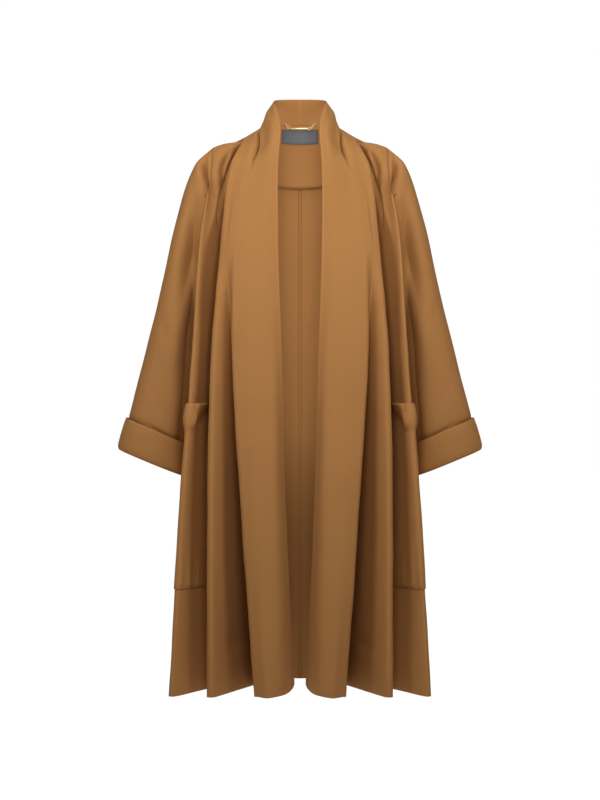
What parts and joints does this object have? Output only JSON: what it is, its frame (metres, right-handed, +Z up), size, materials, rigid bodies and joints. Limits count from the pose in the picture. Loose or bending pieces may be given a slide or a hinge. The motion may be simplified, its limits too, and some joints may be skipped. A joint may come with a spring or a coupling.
{
  "type": "oversized shawl-collar coat",
  "caption": "Oversized open-front coat with a grown-on shawl collar, wide sleeves with turned-back cuffs, large patch pockets at the side folds and a chain hanger, filled out as worn.",
  "frame": {"origin": "on the centre plane at the shoulder seams, where the coat rests on its wearer", "axes": "+Z up, -Y out of the front opening, +X to the wearer's left"},
  "size_m": [0.727, 0.315, 1.1887],
  "materials": {
    "camel_cloth": "matte camel wool cloth, smooth face",
    "label_weave": "dark grey woven label, bare",
    "gold_metal": "polished gold colour"
  },
  "bodies": {
    "root": {"front_collar_left": "camel_cloth", "front_collar_right": "camel_cloth", "back_left": "camel_cloth", "back_right": "camel_cloth", "sleeve_left": "camel_cloth", "sleeve_right": "camel_cloth", "cuff_left": "camel_cloth", "cuff_right": "camel_cloth", "pocket_left": "camel_cloth", "pocket_right": "camel_cloth", "pocket_band_left": "camel_cloth", "pocket_band_right": "camel_cloth", "neck_facing": "camel_cloth", "label": "label_weave", "hanger_chain_left": "gold_metal", "hanger_chain_right": "gold_metal", "hanger_bar": "gold_metal"}
  },
  "joints": []
}
